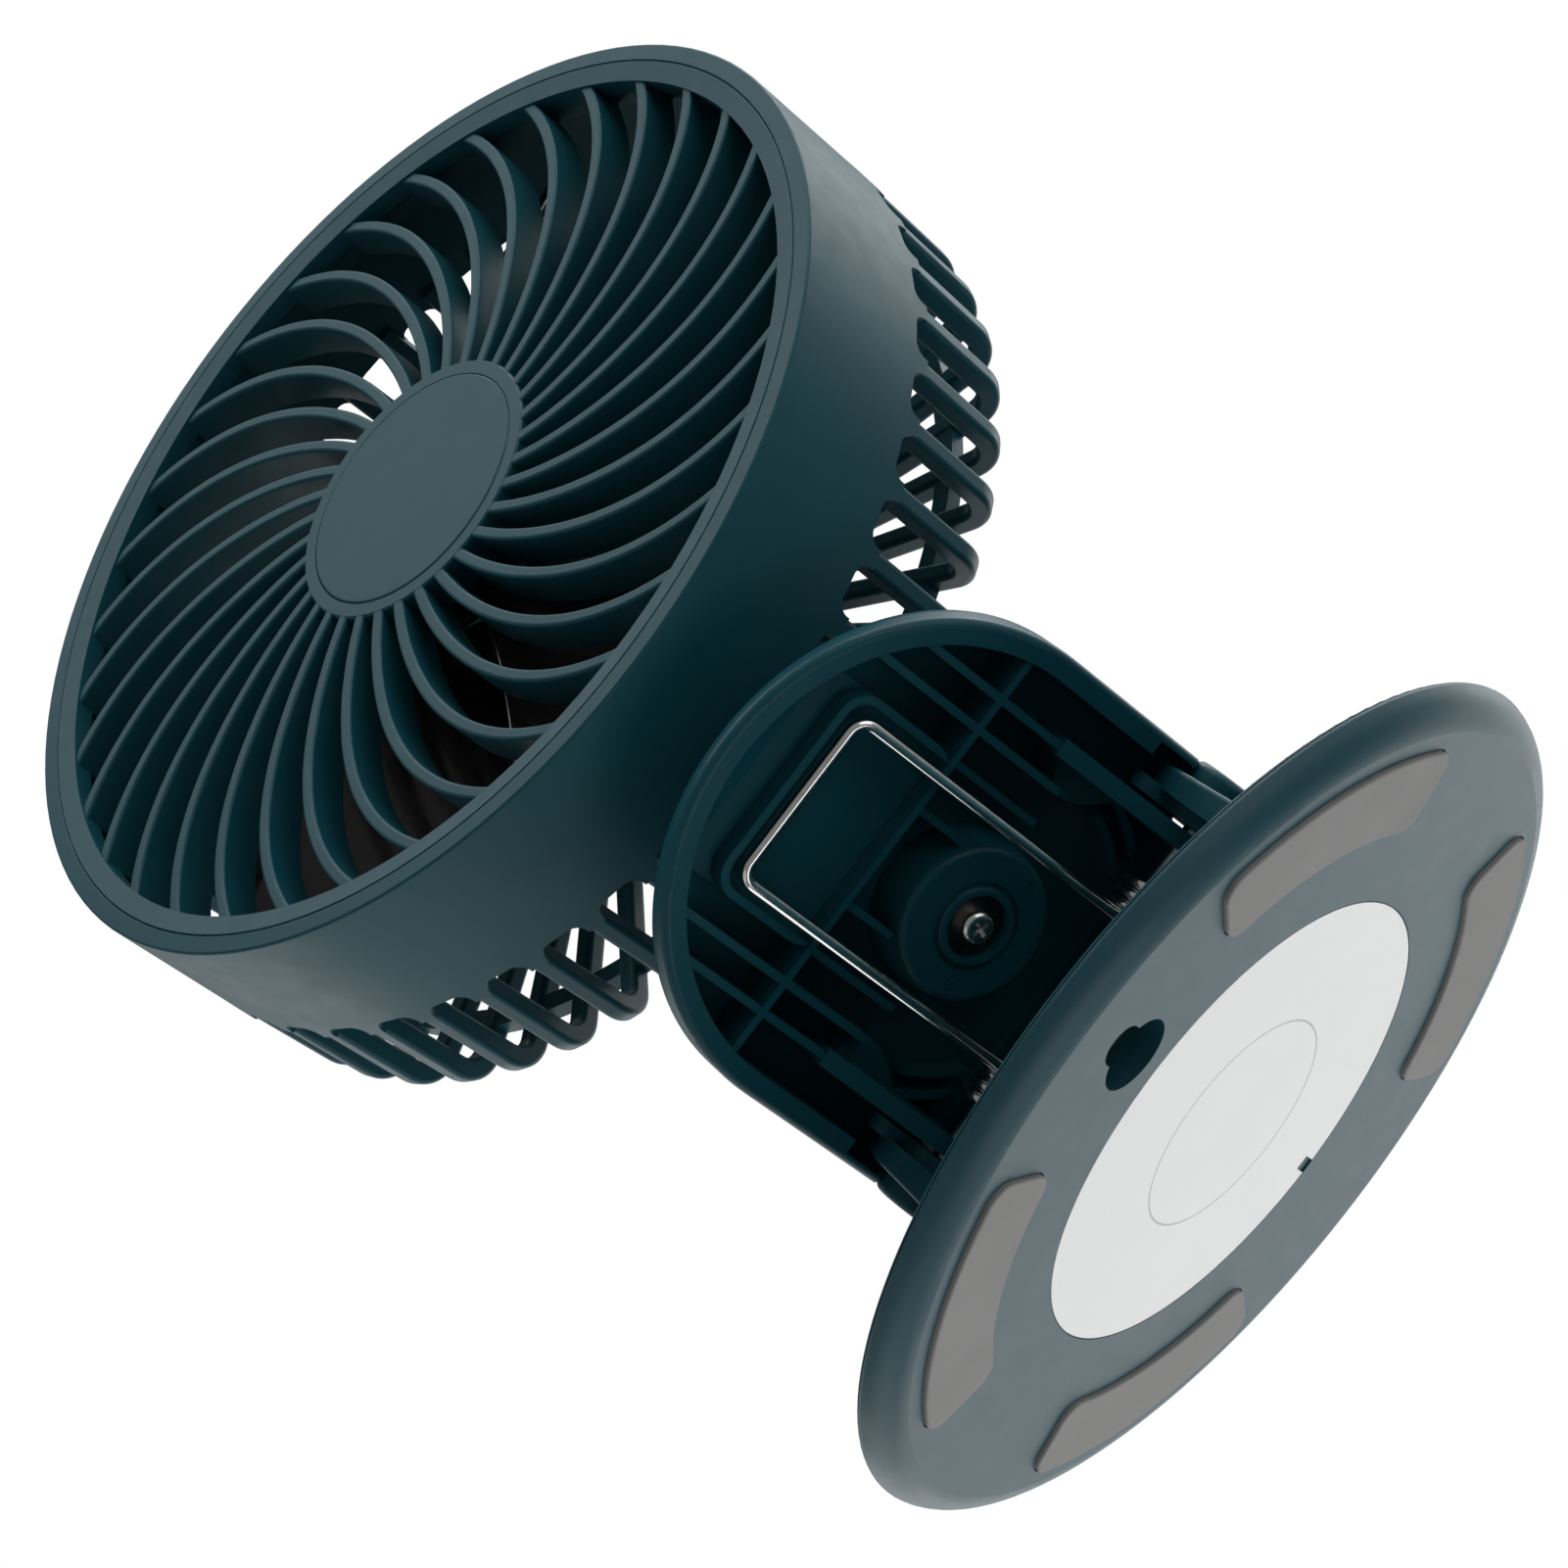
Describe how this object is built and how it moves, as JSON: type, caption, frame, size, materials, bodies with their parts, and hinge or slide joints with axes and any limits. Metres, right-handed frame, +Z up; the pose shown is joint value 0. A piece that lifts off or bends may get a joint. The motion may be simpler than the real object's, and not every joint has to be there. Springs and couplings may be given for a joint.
{
  "type": "clip fan",
  "caption": "Caged round fan on a swivel and tilt neck, carried by a spring clip with a ribbed D shaped lever on a round padded base.",
  "frame": {"origin": "centre of the round base in the plane that its four pads stand on", "axes": "+Z up, square to the base; -Y towards the clip's handle and the front of the fan, +Y towards the jaws; +X along the hinge pin"},
  "size_m": [0.169, 0.1492, 0.2406],
  "materials": {
    "teal_shell": "fine matte moulded plastic",
    "base_underside": "fine matte moulded plastic",
    "pad_rubber": "soft matte rubber",
    "label_white": "printed film",
    "screw_steel": "bright zinc",
    "pin_steel": "ground steel",
    "battery_foil": "foil pouch",
    "board_green": "solder mask",
    "socket_metal": "drawn sheet",
    "black_plastic": "moulded",
    "clear_lens": "frosted clear",
    "spring_wire": "bright drawn wire",
    "washer_dark": "oiled dark steel",
    "blade_dark": "smoke tinted gloss",
    "motor_metal": "plated can",
    "bush_bronze": "sintered"
  },
  "bodies": {
    "base": {"base_lower_shell": "base_underside", "base_upper_shell": "teal_shell", "foot_pads": "pad_rubber", "underside_label": "label_white", "base_screws": "screw_steel", "battery_cell": "battery_foil", "jaw_pad_lower": "pad_rubber", "hinge_pin": "pin_steel", "hinge_caps": "teal_shell"},
    "button": {"power_button": "teal_shell"},
    "lever": {"clip_lever": "teal_shell", "jaw_pad_upper": "pad_rubber", "torsion_spring": "spring_wire"},
    "neck": {"neck_fork": "teal_shell", "swivel_washer": "washer_dark", "swivel_screw": "screw_steel", "tilt_bolt": "teal_shell", "tilt_nut": "teal_shell"},
    "head": {"fan_housing": "teal_shell", "front_grille": "teal_shell", "grille_cap": "teal_shell", "motor_can": "motor_metal", "motor_bushes": "bush_bronze", "motor_screws": "screw_steel", "rear_cover": "teal_shell", "cover_screws": "screw_steel", "tilt_arm": "teal_shell", "arm_screws": "screw_steel", "control_board": "board_green", "usb_socket": "socket_metal", "tact_switch": "black_plastic", "indicator_lenses": "clear_lens"},
    "rotor": {"impeller": "blade_dark", "motor_shaft": "pin_steel"}
  },
  "joints": [
    {"name": "clip_hinge", "type": "hinge", "parent": "base", "child": "lever", "pos_m": [0, -0.005, 0.0318], "axis": [1, 0, 0], "range_deg": [0, 32], "stiffness_Nm_per_rad": 1, "springref_deg": -34.38, "deforming": ["torsion_spring"]},
    {"name": "neck_swivel", "type": "hinge", "parent": "lever", "child": "neck", "pos_m": [0, -0.01422, 0.05504], "axis": [0, 0.5225, 0.8526], "range_deg": [-175, 175]},
    {"name": "head_tilt", "type": "hinge", "parent": "neck", "child": "head", "pos_m": [0, -0.00324, 0.07294], "axis": [-1, 0, 0], "range_deg": [-5, 88]},
    {"name": "fan_spin", "type": "hinge", "parent": "head", "child": "rotor", "pos_m": [0, -0.00341, 0.15463], "axis": [0, -0.8771, 0.4802], "continuous": true},
    {"name": "button_press", "type": "slide", "parent": "head", "child": "button", "axis": [0, -0.8771, 0.4802], "range_m": [0, 0.001], "stiffness_N_per_m": 600, "springref_m": -0.0008}
  ]
}
